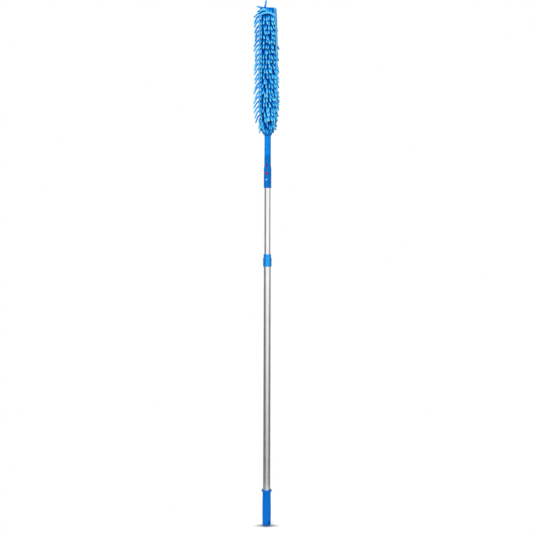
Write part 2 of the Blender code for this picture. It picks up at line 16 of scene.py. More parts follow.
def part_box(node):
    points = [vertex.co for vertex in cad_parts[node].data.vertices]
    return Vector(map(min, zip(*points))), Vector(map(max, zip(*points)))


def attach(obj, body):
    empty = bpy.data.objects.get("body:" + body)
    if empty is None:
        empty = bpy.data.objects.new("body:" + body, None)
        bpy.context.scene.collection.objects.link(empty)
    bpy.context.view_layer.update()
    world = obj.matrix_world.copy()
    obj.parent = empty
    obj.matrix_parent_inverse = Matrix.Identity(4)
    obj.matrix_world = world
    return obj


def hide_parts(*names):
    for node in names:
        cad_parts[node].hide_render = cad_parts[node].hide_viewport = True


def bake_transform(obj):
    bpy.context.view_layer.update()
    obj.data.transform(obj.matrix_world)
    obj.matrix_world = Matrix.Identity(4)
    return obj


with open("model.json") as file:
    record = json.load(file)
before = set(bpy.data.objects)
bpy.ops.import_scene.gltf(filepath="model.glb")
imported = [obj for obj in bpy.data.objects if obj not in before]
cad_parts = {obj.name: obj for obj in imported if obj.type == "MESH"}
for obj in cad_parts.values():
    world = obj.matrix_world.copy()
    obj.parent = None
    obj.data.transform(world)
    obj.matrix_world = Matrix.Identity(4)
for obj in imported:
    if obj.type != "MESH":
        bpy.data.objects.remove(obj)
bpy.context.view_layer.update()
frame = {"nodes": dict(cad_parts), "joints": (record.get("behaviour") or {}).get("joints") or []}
NODES = frame["nodes"]
JOINTS = {joint["name"]: joint for joint in frame["joints"]}


# --- Places read from the frame --------------------------------------------------------

BEND_AXIS = Vector(JOINTS["neck_bend"]["axis"])
HEAD_TURN = math.atan2(BEND_AXIS.y, BEND_AXIS.x)
TO_HEAD = Matrix.Rotation(-HEAD_TURN, 4, "Z")
FROM_HEAD = Matrix.Rotation(HEAD_TURN, 4, "Z")


def head_box(node):
    """Lowest and highest corner of a CAD node in the head's own frame."""
    points = [TO_HEAD @ vertex.co for vertex in NODES[node].data.vertices]
    low = Vector(min(point[i] for point in points) for i in range(3))
    high = Vector(max(point[i] for point in points) for i in range(3))
    return low, high


def foot(node):
    """Lowest height of a CAD node."""
    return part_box(node)[0].z


def top(node):
    """Highest height of a CAD node."""
    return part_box(node)[1].z


SLEEVE_MOUTH = foot("sleeve_cuff")
SLEEVE_TOP = top("pile_front")
POCKET_TOP = top("sleeve_backing")
PADDLE_TOP = top("wand_paddle")
NECK_FOOT = foot("flexible_neck")
NECK_TOP = top("flexible_neck")
NECK_RADIUS = (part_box("flexible_neck")[1].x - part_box("flexible_neck")[0].x) / 2
POCKET_HALF_WIDTH = head_box("sleeve_backing")[1].x


# --- Camera, light and floor -----------------------------------------------------------

CAMERA_AZIMUTH = math.radians(-45)
CAMERA_DISTANCE = 2.851
CAMERA_HEIGHT = 1.2163
CAMERA_PITCH = math.radians(6)
CAMERA_ROLL = math.radians(0.16)
CAMERA_ASIDE = -0.0027
IMAGE_SIDE = 533
FOCAL_LENGTH = 840  # in units of IMAGE_SIDE
SENSOR = 36.0
FRONT_WINDOW = 1.15  # strengths of the world's light
REAR_WINDOW = 0.9
OVERHEAD = 1.3
SIDE_LEVEL = 0.18
BACKDROP = 1.0
FRONT_WINDOW_ASIDE = math.radians(9.5)  # to the right of the camera
WINDOW_EDGE = (-0.05, 0.72)  # nearness to a window's middle at which it starts, and is full
WINDOW_NARROWING = 1.75  # how fast a window narrows below the horizon
OVERHEAD_EDGE = (0.25, 0.75)  # height of a direction at which the overhead light starts, and is full
KEY_POWER = 42
FLOOR_RADIUS = 0.3
FLOOR_SIDES = 96
PAINTED_SHADOW_SIZE = (0.072, 0.0215)  # reach of the contact shadow painted on the floor, across the view and along it
PAINTED_SHADOW_FORWARD = 0.006
# greys of the painted contact shadow, from the foot outwards
PAINTED_SHADOW_FADE = [(0.0, 0.18), (0.3, 0.30), (0.47, 0.52), (0.63, 0.70), (0.8, 0.85), (1.0, 0.95)]


def from_azimuth(azimuth, distance, height):
    """A point round the pole; azimuth 0 is towards -Y and 90 degrees towards +X."""
    return Vector((math.sin(azimuth) * distance, -math.cos(azimuth) * distance, height))


def add_camera():
    data = bpy.data.cameras.new("camera")
    data.sensor_width = SENSOR
    data.lens = SENSOR * FOCAL_LENGTH / IMAGE_SIDE
    camera = bpy.data.objects.new("camera", data)
    bpy.context.scene.collection.objects.link(camera)
    right = Vector((math.cos(CAMERA_AZIMUTH), math.sin(CAMERA_AZIMUTH), 0))
    stand = from_azimuth(CAMERA_AZIMUTH, CAMERA_DISTANCE, CAMERA_HEIGHT)
    camera.location = stand + right * CAMERA_ASIDE
    upright = Matrix.Rotation(CAMERA_AZIMUTH, 4, "Z")
    tilt = Matrix.Rotation(math.pi / 2 - CAMERA_PITCH, 4, "X")
    roll = Matrix.Rotation(CAMERA_ROLL, 4, "Z")
    camera.rotation_euler = (upright @ tilt @ roll).to_euler()
    bpy.context.scene.camera = camera


def add_key_light():
    """A soft box to the left of the camera, aimed at the middle of the pole."""
    azimuth, distance, height = CAMERA_AZIMUTH - math.radians(28), 2.2, 3.0
    side, aim_height = 1.3, 1.35
    data = bpy.data.lights.new("key", "AREA")
    data.shape = "RECTANGLE"
    data.size = data.size_y = side
    data.energy = KEY_POWER
    light = bpy.data.objects.new("key", data)
    bpy.context.scene.collection.objects.link(light)
    light.location = from_azimuth(azimuth, distance, height)
    aim = Vector((0, 0, aim_height)) - light.location
    light.rotation_euler = aim.to_track_quat("-Z", "Y").to_euler()


def add_world():
    """Soft studio light: a broad window in front and behind, open overhead and dim to the sides.

    Rays from the camera see a plain white backdrop.
    """
    world = bpy.data.worlds.new("studio")
    world.use_nodes = True
    tree = world.node_tree
    nodes, links = tree.nodes, tree.links
    background = nodes["Background"]
    coordinates = nodes.new("ShaderNodeTexCoord")
    split = nodes.new("ShaderNodeSeparateXYZ")
    links.new(coordinates.outputs["Generated"], split.inputs[0])

    def spread(value, low, high):
        made = nodes.new("ShaderNodeMapRange")
        made.interpolation_type = "SMOOTHSTEP"
        made.inputs["From Min"].default_value = low
        made.inputs["From Max"].default_value = high
        links.new(value, made.inputs["Value"])
        return made.outputs["Result"]

    def maths(operation, first, second):
        made = nodes.new("ShaderNodeMath")
        made.operation = operation
        for i, value in enumerate((first, second)):
            if isinstance(value, float):
                made.inputs[i].default_value = value
            else:
                links.new(value, made.inputs[i])
        return made.outputs[0]

    def window(azimuth):
        """How near a direction is to the middle of a window; it narrows below the horizon."""
        aim = nodes.new("ShaderNodeVectorMath")
        aim.operation = "DOT_PRODUCT"
        aim.inputs[1].default_value = from_azimuth(azimuth, 1, 0)
        links.new(coordinates.outputs["Generated"], aim.inputs[0])
        below = maths("MULTIPLY", maths("MINIMUM", split.outputs["Z"], 0.0), WINDOW_NARROWING)
        return spread(maths("ADD", aim.outputs["Value"], below), *WINDOW_EDGE)

    front = maths("MULTIPLY", window(CAMERA_AZIMUTH + FRONT_WINDOW_ASIDE), FRONT_WINDOW)
    rear = maths("MULTIPLY", window(CAMERA_AZIMUTH + math.pi), REAR_WINDOW)
    above = maths("MULTIPLY", spread(split.outputs["Z"], *OVERHEAD_EDGE), OVERHEAD)
    light = maths("MAXIMUM", maths("MAXIMUM", front, rear), above)
    light = maths("MAXIMUM", light, SIDE_LEVEL)
    path = nodes.new("ShaderNodeLightPath")
    backdrop = maths("MULTIPLY", path.outputs["Is Camera Ray"], BACKDROP)
    links.new(maths("MAXIMUM", light, backdrop), background.inputs["Strength"])
    background.inputs["Color"].default_value = (1, 1, 1, 1)
    bpy.context.scene.world = world


def add_floor():
    """A round pale floor that runs out into the backdrop."""
    points = [(0, 0, 0)] + circle(FLOOR_RADIUS, 0, FLOOR_SIDES)
    faces = [(0, i + 1, (i + 1) % FLOOR_SIDES + 1) for i in range(FLOOR_SIDES)]
    mesh = bpy.data.meshes.new("floor")
    mesh.from_pydata(points, [], faces)
    mesh.materials.append(floor_material())
    floor = bpy.data.objects.new("floor", mesh)
    bpy.context.scene.collection.objects.link(floor)


# --- Materials -------------------------------------------------------------------------

PILE_SHEEN = (0.10, 0.60, 1.0, 1)


class Surface:
    """A procedural material: a Principled shader and short ways to add nodes to it."""

    def __init__(self, name, roughness=0.5, metallic=0.0, gloss=0.5, sheen=0.0, **sheens):
        self.material = bpy.data.materials.new(name)
        self.material.use_nodes = True
        self.tree = self.material.node_tree
        self.shader = self.tree.nodes["Principled BSDF"]
        self.shader.inputs["Roughness"].default_value = roughness
        self.shader.inputs["Metallic"].default_value = metallic
        self.shader.inputs["Specular IOR Level"].default_value = gloss
        self.shader.inputs["Sheen Weight"].default_value = sheen
        for word, value in sheens.items():
            self.shader.inputs[word.replace("_", " ").title()].default_value = value

    def node(self, kind, **values):
        made = self.tree.nodes.new(kind)
        for key, value in values.items():
            if key in made.inputs:
                made.inputs[key].default_value = value
            else:
                setattr(made, key, value)
        return made

    def link(self, output, target):
        self.tree.links.new(output, target)

    def place(self, stretch=(1, 1, 1)):
        """Object coordinates, stretched along each axis."""
        coordinates = self.node("ShaderNodeTexCoord")
        mapping = self.node("ShaderNodeMapping", Scale=stretch)
        self.link(coordinates.outputs["Object"], mapping.inputs["Vector"])
        return mapping.outputs["Vector"]

    def noise(self, scale, detail=2.0, stretch=(1, 1, 1)):
        texture = self.node("ShaderNodeTexNoise", Scale=scale, Detail=detail)
        self.link(self.place(stretch), texture.inputs["Vector"])
        return texture.outputs["Fac"]

    def ramp(self, value, stops):
        """Colours along a value; each stop is (place, colour)."""
        ramp = self.node("ShaderNodeValToRGB")
        elements = ramp.color_ramp.elements
        while len(elements) < len(stops):
            elements.new(1.0)
        for element, (place, colour) in zip(elements, stops):
            element.position = place
            element.color = (*colour, 1)
        self.link(value, ramp.inputs["Fac"])
        return ramp.outputs["Color"]

    def between(self, value, low, high):
        """The value, from 0 to 1, spread over low to high."""
        spread = self.node("ShaderNodeMapRange")
        spread.inputs["To Min"].default_value = low
        spread.inputs["To Max"].default_value = high
        self.link(value, spread.inputs["Value"])
        return spread.outputs["Result"]

    def sum(self, first, second, share):
        """first plus share of second."""
        made = self.node("ShaderNodeMath", operation="MULTIPLY_ADD")
        made.inputs[1].default_value = share
        self.link(second, made.inputs[0])
        self.link(first, made.inputs[2])
        return made.outputs["Value"]

    def colour(self, output):
        self.link(output, self.shader.inputs["Base Color"])

    def roughness(self, output):
        self.link(output, self.shader.inputs["Roughness"])

    def bump(self, height, strength, depth):
        bump = self.node("ShaderNodeBump", Strength=strength, Distance=depth)
        self.link(height, bump.inputs["Height"])
        self.link(bump.outputs["Normal"], self.shader.inputs["Normal"])


def floor_material():
    """Pale floor with a soft contact shadow painted round the duster's foot."""
    surface = Surface("pale_floor", roughness=0.9)
    coordinates = surface.node("ShaderNodeTexCoord")
    painted_shadow_place = surface.node("ShaderNodeMapping", vector_type="TEXTURE", Scale=(*PAINTED_SHADOW_SIZE, 1))
    painted_shadow_place.inputs["Location"].default_value = from_azimuth(CAMERA_AZIMUTH, PAINTED_SHADOW_FORWARD, 0)
    painted_shadow_place.inputs["Rotation"].default_value = (0, 0, CAMERA_AZIMUTH)
    away = surface.node("ShaderNodeVectorMath", operation="LENGTH")
    surface.link(coordinates.outputs["Object"], painted_shadow_place.inputs["Vector"])
    surface.link(painted_shadow_place.outputs["Vector"], away.inputs[0])
    distance = surface.sum(away.outputs["Value"], surface.noise(90), 0.02)
    # the floor's colour is the painted shadow's grey at this distance from the foot
    stops = [(place, (level, level, level)) for place, level in PAINTED_SHADOW_FADE]
    surface.colour(surface.ramp(distance, stops))
    return surface.material


def plastic_material(name, colour, roughness, gloss, grain=(1400, 0.12), metallic=0.0):
    """Moulded plastic with a faint grain and slightly uneven gloss; a metallic one is pearly.

    The grain is its noise scale and its strength.
    """
    surface = Surface(name, roughness, metallic, gloss)
    low = tuple(0.9 * c for c in colour)
    high = tuple(min(1.0, 1.1 * c) for c in colour)
    surface.colour(surface.ramp(surface.noise(60, 3), [(0.3, low), (0.7, high)]))
    surface.roughness(surface.between(surface.noise(220, 3), roughness - 0.06, roughness + 0.06))
    scale, strength = grain
    surface.bump(surface.noise(scale, 3), strength, 0.0002)
    return surface.material


def aluminium_material():
    """Drawn and anodised tube: fine lines along the pole and faint handling marks."""
    surface = Surface("drawn_aluminium", roughness=0.3, metallic=1.0)
    marks = surface.noise(45, 4, (1, 1, 0.4))
    surface.colour(surface.ramp(marks, [(0.3, (0.80, 0.81, 0.82)), (0.7, (0.90, 0.905, 0.91))]))
    lines = surface.noise(1, 3, (2600, 2600, 9))
    surface.roughness(surface.between(lines, 0.16, 0.32))
    surface.bump(lines, 0.25, 0.00008)
    return surface.material


def steel_material():
    """Bright drawn steel, for the leaf springs and the wires in the neck."""
    surface = Surface("spring_steel", roughness=0.25, metallic=1.0)
    streaks = surface.noise(1, 2, (900, 900, 60))
    surface.colour(surface.ramp(streaks, [(0.3, (0.45, 0.45, 0.46)), (0.7, (0.62, 0.62, 0.63))]))
    surface.roughness(surface.between(streaks, 0.18, 0.34))
    return surface.material


def chenille_material():
    """Fuzzy microfibre pile, with painted light: deep blue as painted shadow at a strand's root and pale
    as a painted highlight towards its tip.
    """
    surface = Surface("chenille_pile", 0.9, gloss=0.02, sheen=0.25, sheen_tint=PILE_SHEEN)
    reach = surface.node("ShaderNodeAttribute", attribute_name="reach").outputs["Fac"]
    tone = surface.node("ShaderNodeAttribute", attribute_name="tone").outputs["Fac"]
    tufts = surface.between(surface.noise(620, 3), -1, 1)
    # painted shadow at the root and painted highlight at the tip, with random tufts and each strand's
    # tone added
    painted_shade = surface.sum(surface.sum(reach, tufts, 0.30), tone, 0.10)
    stops = [
        (0.08, (0.0001, 0.030, 0.31)),
        (0.38, (0.001, 0.160, 0.62)),
        (0.62, (0.020, 0.430, 0.95)),
        (0.92, (0.230, 0.800, 1.0)),
    ]
    surface.colour(surface.ramp(painted_shade, stops))
    surface.bump(surface.noise(1700, 3), 0.9, 0.0006)
    return surface.material


def knit_material():
    """The knitted backing that the strands are tufted into, with its courses running round."""
    surface = Surface("knitted_backing", 0.92, gloss=0.02, sheen=0.1, sheen_tint=(0.05, 0.4, 1.0, 1))
    waves = surface.node("ShaderNodeTexWave", Scale=230, Distortion=4.5)
    waves.bands_direction = "Z"
    waves.inputs["Detail Scale"].default_value = 6
    surface.link(surface.place(), waves.inputs["Vector"])
    weave = surface.sum(waves.outputs["Fac"], surface.noise(900, 2), 1.2)
    # a dark blue backing made darker still, as painted shadow in the gaps between the strands
    surface.colour(surface.ramp(weave, [(0.3, (0.0002, 0.010, 0.13)), (1.0, (0.001, 0.045, 0.28))]))
    surface.bump(weave, 0.7, 0.0005)
    return surface.material


def tape_material():
    """Woven seam tape, paler than the pile, with a fine twill."""
    surface = Surface("seam_tape", 0.8, gloss=0.05, sheen=0.2, sheen_roughness=0.4)
    twill = surface.node("ShaderNodeTexWave", Scale=1150, Distortion=1.5)
    twill.bands_direction = "DIAGONAL"
    surface.link(surface.place(), twill.inputs["Vector"])
    soft = surface.sum(surface.noise(260, 3), twill.outputs["Fac"], 0.35)
    surface.colour(surface.ramp(soft, [(0.3, (0.03, 0.33, 0.74)), (1.0, (0.14, 0.58, 0.95))]))
    surface.bump(soft, 0.5, 0.0003)
    return surface.material


def hem_material():
    """Ribbed elastic: fine wales that run up the hem, in the blue of the pile."""
    surface = Surface("hem_elastic", 0.85, gloss=0.04, sheen=0.2, sheen_tint=PILE_SHEEN)
    wales = surface.noise(1, 2, (1500, 1500, 160))
    surface.colour(surface.ramp(wales, [(0.3, (0.0005, 0.130, 0.52)), (0.75, (0.004, 0.290, 0.82))]))
    surface.bump(wales, 0.8, 0.0004)
    return surface.material


def thread_material():
    """Twisted polyester thread."""
    surface = Surface("seam_thread", 0.6, gloss=0.2)
    twist = surface.noise(2400, 2)
    surface.colour(surface.ramp(twist, [(0.3, (0.01, 0.16, 0.52)), (0.7, (0.06, 0.36, 0.80))]))
    surface.bump(twist, 0.6, 0.0002)
    return surface.material


# --- Mesh building ---------------------------------------------------------------------


def make_piece(name, points, faces, material, turn=None, sharp=40):
    """A mesh object in its place in the world; turn is a matrix from the points' own frame.

    Edges sharper than the angle sharp, in degrees, stay creased.
    """
    mesh = bpy.data.meshes.new(name)
    mesh.from_pydata(points, [], faces)
    if turn is not None:
        mesh.transform(turn)
    bm = bmesh.new()
    bm.from_mesh(mesh)
    bmesh.ops.recalc_face_normals(bm, faces=bm.faces)
    bm.to_mesh(mesh)
    bm.free()
    mesh.shade_smooth()
    mesh.set_sharp_from_angle(angle=math.radians(sharp))
    mesh.materials.append(material)
    piece = bpy.data.objects.new(name, mesh)
    bpy.context.scene.collection.objects.link(piece)
    return piece


def loft(rings, hollow=False):
    """Points and faces through rings of equal length; a hollow loft closes on itself."""
    count = len(rings[0])
    points = [tuple(point) for ring in rings for point in ring]
    faces = []
    last = len(rings) if hollow else len(rings) - 1
    for k in range(last):
        a, b = k * count, (k + 1) % len(rings) * count
        for i in range(count):
            j = (i + 1) % count
            faces.append((a + i, a + j, b + j, b + i))
    if not hollow:
        faces.append(tuple(range(count)))
        faces.append(tuple(range(len(points) - count, len(points))))
    return points, faces


def append_loft(points, faces, rings):
    """Adds a capped loft to the points and faces of a mesh that holds several."""
    first = len(points)
    ring_points, ring_faces = loft(rings)
    points += ring_points
    faces += [tuple(first + i for i in face) for face in ring_faces]


def circle(radius, height, sides):
    steps = [2 * math.pi * i / sides for i in range(sides)]
    return [(radius * math.cos(a), radius * math.sin(a), height) for a in steps]


def bezier(p0, p1, p2, p3, t):
    s = 1 - t
    return p0 * s**3 + p1 * (3 * s * s * t) + p2 * (3 * s * t * t) + p3 * t**3


# --- Sleeve ----------------------------------------------------------------------------

ROW_PITCH = 0.0154
FIRST_ROW = 0.0315  # below the top of the sleeve
LOWEST_ROW = 0.050  # above the mouth; the strands below it gather round the neck
GATHER = 0.100  # height over which the sleeve draws in to the neck
STRAND_RADIUS = 0.0026
THIN_RADIUS = 0.0025
STRAND_LENGTH = 0.0172
SHORT_LENGTH = 0.0165
STRAND_SIDES = 10
STRAND_RINGS = 15
STRAND_ROOT = 0.74  # share of the radius at the root, which widens over ROOT_STRETCH
ROOT_STRETCH = 0.3
ROUND_TIP = 0.82  # place along a strand where its tip starts to round off
TUFT = 0.14  # unevenness of the pile
BACKING_HALF_WIDTH = POCKET_HALF_WIDTH + 0.001
BACKING_POWER = 2.5
BACKING_WALL = 0.0011
MOUTH_HALF = 0.0122
EDGE_LAYERS = ((-0.0035, 1.0), (0.003, 0.985), (0.009, 0.96))  # depth through the sleeve, length
EDGE_TAIL = (0.043, 0.031)  # edge strands below the rows, above the mouth
LINE_UP = 0.12  # rise of a deeper strand, so that it sits behind the one in front
HEM_RADIUS = 0.0130
HEM_THICKNESS = 0.0026
HEM_HEIGHT = 0.0085


def smooth(low, high, value):
    """0 at low and 1 at high, easing in and out between them."""
    t = min(max((value - low) / (high - low), 0), 1)
    return t * t * (3 - 2 * t)


def gathered(height):
    """0 at the mouth of the sleeve, 1 where it has its full width."""
    return smooth(SLEEVE_MOUTH - 0.006, SLEEVE_MOUTH + GATHER, height)


def sleeve_section(height):
    """Half width and half thickness of the backing's oval at a height."""
    full = gathered(height)
    close = smooth(PADDLE_TOP - 0.02, SLEEVE_TOP, height)
    half_width = MOUTH_HALF + (BACKING_HALF_WIDTH - MOUTH_HALF) * full - 0.0035 * close
    half_thickness = MOUTH_HALF + 0.0018 * full - 0.0105 * close
    return half_width, half_thickness


def sleeve_point(angle, height, off=0.0):
    """A point of the backing and its outward normal; angle 270 degrees is the front."""
    half_width, half_thickness = sleeve_section(height)
    power = 2 / BACKING_POWER
    c, s = math.cos(angle), math.sin(angle)
    x = half_width * math.copysign(abs(c) ** power, c)
    y = half_thickness * math.copysign(abs(s) ** power, s)
    flat = 2 - power
    across = math.copysign(abs(c) ** flat, c) / half_width
    through = math.copysign(abs(s) ** flat, s) / half_thickness
    normal = Vector((across, through, 0)).normalized()
    return Vector((x, y, height)) + normal * off, normal


def crown_narrowing(height):
    """0 up most of the sleeve and 1 at its top, where the right edge runs in."""
    return smooth(PADDLE_TOP - 0.12, SLEEVE_TOP, height)


def front_angle(x, height):
    """The angle on the front of the backing at which it reaches x."""
    half_width, _ = sleeve_section(height)
    widest = 0.985  # short of the side, where the angle would run away
    share = max(min(x / half_width, widest), -widest)
    c = math.copysign(abs(share) ** (BACKING_POWER / 2), share)
    return 2 * math.pi - math.acos(c)


class Strands:
    """A batch of chenille strands that becomes one mesh.

    Each point keeps how far along its painted shading it is, as reach (painted shadow at the root,
    painted highlight at the tip), and its strand's own tone.
    """

    def __init__(self, seed):
        self.random = random.Random(seed)
        self.points, self.faces, self.reach, self.tone = [], [], [], []

    def wobble(self, amount):
        return self.random.uniform(-amount, amount)

    def add(self, p0, p1, p2, p3, radius=STRAND_RADIUS, painted_shade=(0.0, 1.0)):
        """A strand along a curve, with tufted pile and a round tip; its painted shading runs from root to
        tip.
        """
        tone = self.wobble(1)
        turn = self.random.uniform(0, math.pi)
        side = Vector((0.31, 0.52, 0.13))  # any direction that no strand runs in
        step = 0.02
        rings = []
        for k in range(STRAND_RINGS):
            t = 1 - (1 - k / (STRAND_RINGS - 1)) ** 1.25
            centre = bezier(p0, p1, p2, p3, t)
            before = bezier(p0, p1, p2, p3, max(t - step, 0))
            along = (bezier(p0, p1, p2, p3, min(t + step, 1)) - before).normalized()
            side = (side - along * side.dot(along)).normalized()
            other = along.cross(side)
            body = STRAND_ROOT + (1 - STRAND_ROOT) * smooth(0, ROOT_STRETCH, t)
            tip = max((t - ROUND_TIP) / (1 - ROUND_TIP), 0)
            thick = radius * body * math.sqrt(max(1 - tip**2, 0.02))
            ring = []
            for i in range(STRAND_SIDES):
                a = turn + 2 * math.pi * (i + 0.5 * (k % 2)) / STRAND_SIDES
                tuft = 1 + self.wobble(TUFT) + 0.05 * math.sin(2.4 * k + 3 * a)
                ring.append(centre + (side * math.cos(a) + other * math.sin(a)) * thick * tuft)
            rings.append(ring)
            self.reach += [painted_shade[0] + (painted_shade[1] - painted_shade[0]) * t] * STRAND_SIDES
            self.tone += [tone] * STRAND_SIDES
        append_loft(self.points, self.faces, rings)

    def build(self, name, material):
        piece = make_piece(name, self.points, self.faces, material, FROM_HEAD, sharp=180)
        for word, values in (("reach", self.reach), ("tone", self.tone)):
            piece.data.attributes.new(word, "FLOAT", "POINT").data.foreach_set("value", values)
        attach(piece, "sleeve")
        return piece


def hang(strands, angle, height, lean, length, lift=0.0066, radius=STRAND_RADIUS, painted_shade=(0.0, 1.0)):
    """A strand that leaves the backing, turns down and lies on the pile.

    Its lean is how far it goes sideways for its way down, and its lift is how far off it lies.
    """
    root, normal = sleeve_point(angle, height, -0.0008)
    across = Vector((0, 0, 1)).cross(normal)
    slope = math.atan(lean)
    way = Vector((0, 0, -1)) * math.cos(slope) + across * math.sin(slope)
    curl = across * strands.wobble(0.0024)
    p1 = root + normal * lift * 0.8 + Vector((0, 0, 0.0012)) + way * 0.10 * length + curl
    p2 = root + normal * (lift + 0.0016) + way * 0.58 * length - curl
    p3 = root + normal * (lift + strands.wobble(0.0014)) + way * length + curl * 0.6
    strands.add(root, p1, p2, p3, radius * (1 + strands.wobble(0.08)), painted_shade)


def strand_rows():
    """The heights of the rows of strands, from the top down."""
    rows = []
    height = SLEEVE_TOP - FIRST_ROW
    while height > SLEEVE_MOUTH + LOWEST_ROW:
        rows.append(height)
        height -= ROW_PITCH
    return rows


def panel_strands(name, seed, material, columns, flip):
    """One broad side of the sleeve, row under row; flip mirrors it on to the back.

    Long strands lean more the lower and the further right they are, and short ones fill the
    gaps between them. The front's last column starts below the bare seam.
    """
    strands = Strands(seed)
    narrow = len(columns) - 1
    for row, height in enumerate(strand_rows()):
        down = smooth(SLEEVE_TOP - 0.10, SLEEVE_TOP - 0.28, height)
        full = gathered(height)
        fit = 0.42 + 0.58 * full
        sweep = 0.16 * math.sin(1.3 * row + seed) + 0.08 * math.sin(2.9 * row)
        for i, x in enumerate(columns):
            if i == narrow and down < 0.15 and not flip:
                continue
            across = (x - columns[0]) / (columns[-1] - columns[0])
            spot = (x + strands.wobble(0.0016)) * fit
            lean = 0.06 + across * (0.16 + 0.50 * down) + sweep * (0.4 + 0.6 * down)
            lean = (lean + strands.wobble(0.20)) * (0.35 + 0.65 * full)
            length = STRAND_LENGTH * (0.90 + 0.36 * down + strands.wobble(0.13))
            angle = front_angle(spot, height)
            if flip:
                angle, lean = 2 * math.pi - angle, -lean
            hang(strands, angle, height + strands.wobble(0.0021), lean, length)
        for i in range(narrow):
            spot = ((columns[i] + columns[i + 1]) / 2 + strands.wobble(0.0015)) * fit
            angle = front_angle(spot, height)
            if flip:
                angle = 2 * math.pi - angle
            low = height - 0.45 * ROW_PITCH
            length = 0.011 + strands.wobble(0.002)
            lean = strands.wobble(0.4)
            # these short strands are painted dark, as painted shadow under the long strands over them
            hang(strands, angle, low, lean, length, lift=0.0026, radius=0.0024, painted_shade=(-0.1, 0.32))
    return strands.build(name, material)


def build_panels(material):
    """The strands of the two broad sides, in columns at these places across the sleeve."""
    columns = [-0.0118, -0.0045, 0.0028, 0.0098, 0.0166, 0.0240]
    front = panel_strands("strands_front", 11, material, columns, False)
    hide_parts("pile_front")
    columns = [-0.0205, -0.0130, -0.0055, 0.0020, 0.0095, 0.0165, 0.0232]
    back = panel_strands("strands_back", 12, material, columns, True)
    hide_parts("pile_back")


def edge_strand(strands, side, row, depth, reach, drop, bow, radius, painted_shade):
    """A strand that stands out past an edge, level at its root and hanging at its tip.

    The side is -1 on the left and 1 on the right, and a bow lifts the arc.
    """
    full = gathered(row)
    root, _ = sleeve_point(math.pi if side < 0 else 0, row, -0.0022)
    root.y += depth * (0.5 + 0.5 * full)
    root.z += LINE_UP * depth
    p1 = root + Vector((side * (0.42 * reach + bow), 0.4 * depth, -0.08 * drop + bow))
    p2 = root + Vector((side * (0.74 * reach + bow), 0.6 * depth, -0.46 * drop))
    p3 = root + Vector((side * reach, 0.7 * depth, -drop))
    strands.add(root, p1, p2, p3, radius, painted_shade)


def build_left_strands(material):
    """The strands along the bound edge: a plain column, and arcs that stand out past it."""
    strands = Strands(13)
    for height in strand_rows() + [SLEEVE_MOUTH + rise for rise in EDGE_TAIL]:
        full = gathered(height)
        row = height + 0.004 + strands.wobble(0.0012)
        reach = (0.0181 + strands.wobble(0.0026)) * (0.62 + 0.38 * full)
        drop = (0.0260 + strands.wobble(0.0024)) * (1.12 - 0.12 * full)
        bow = strands.wobble(0.0014)
        look = {"radius": STRAND_RADIUS, "painted_shade": (0.36, 0.80)}
        for depth, share in EDGE_LAYERS:
            edge_strand(strands, -1, row, depth, reach * share, drop * share, bow, **look)
        for side in (-1, 1):
            x = -0.0200 * (0.45 + 0.55 * full) + strands.wobble(0.0006)
            angle = front_angle(x, height) * -side
            lean = side * (0.10 + strands.wobble(0.10))
            length = SHORT_LENGTH + strands.wobble(0.0015)
            hang(strands, angle, height + 0.003, lean, length, lift=0.0060, painted_shade=(0.0, 0.95))
    strands.build("strands_left", material)


def build_right_strands(material):
    """The strands behind the bare seam, and the ones that stand out past it lower down."""
    strands = Strands(17)
    look = {"radius": THIN_RADIUS, "painted_shade": (0.0, 0.85)}
    for height in strand_rows() + [SLEEVE_MOUTH + 0.040]:
        narrowing = crown_narrowing(height)
        lift = 0.0016 - 0.0006 * narrowing
        for turn, drop in ((26 + 12 * narrowing, 0.006), (52, 0)):
            angle = math.radians(turn + strands.wobble(3))
            length = SHORT_LENGTH + strands.wobble(0.0015)
            lean = strands.wobble(0.15)
            hang(strands, angle, height - drop, lean, length, lift, **look)
    for i, height in enumerate(strand_rows() + [SLEEVE_MOUTH + rise for rise in EDGE_TAIL]):
        bare = height > SLEEVE_TOP - 0.105
        sparse = height > SLEEVE_TOP - 0.19
        if bare or (sparse and i % 2):
            continue
        full = gathered(height)
        row = height + strands.wobble(0.003)
        reach = 0.0080 + strands.wobble(0.0032) + 0.007 * (1 - full)
        drop = 0.0175 + strands.wobble(0.003)
        look = {"radius": 0.0023, "painted_shade": (0.25, 0.78)}
        for depth, share in EDGE_LAYERS[1:]:
            edge_strand(strands, 1, row, depth, reach * share, drop * share, bow=0.0, **look)
    strands.build("strands_right", material)


# Strands that stick out of the crown's folded corner, as curves measured from the top: the one
# that stands up, three that stand out to the left, and two behind them.
CROWN_FAN = (
    (
        (-0.0095, -0.004, -0.004), (-0.0090, -0.005, 0.005),
        (-0.0075, -0.006, 0.013), (-0.0057, -0.006, 0.0225),
    ),
    (
        (-0.0140, -0.003, -0.003), (-0.0210, -0.004, -0.0025),
        (-0.0290, -0.005, -0.001), (-0.0378, -0.005, 0.002),
    ),
    (
        (-0.0170, -0.005, -0.009), (-0.0230, -0.006, -0.0105),
        (-0.0290, -0.007, -0.014), (-0.0362, -0.007, -0.0170),
    ),
    (
        (-0.0240, -0.005, -0.017), (-0.0320, -0.007, -0.0215),
        (-0.0400, -0.008, -0.0285), (-0.0480, -0.008, -0.0362),
    ),
    (
        (-0.0120, 0.004, -0.006), (-0.0190, 0.008, -0.004),
        (-0.0260, 0.010, -0.009), (-0.0320, 0.011, -0.018),
    ),
    (
        (-0.0060, 0.003, -0.004), (-0.0080, 0.007, 0.002),
        (-0.0100, 0.010, 0.004), (-0.0150, 0.013, -0.001),
    ),
)


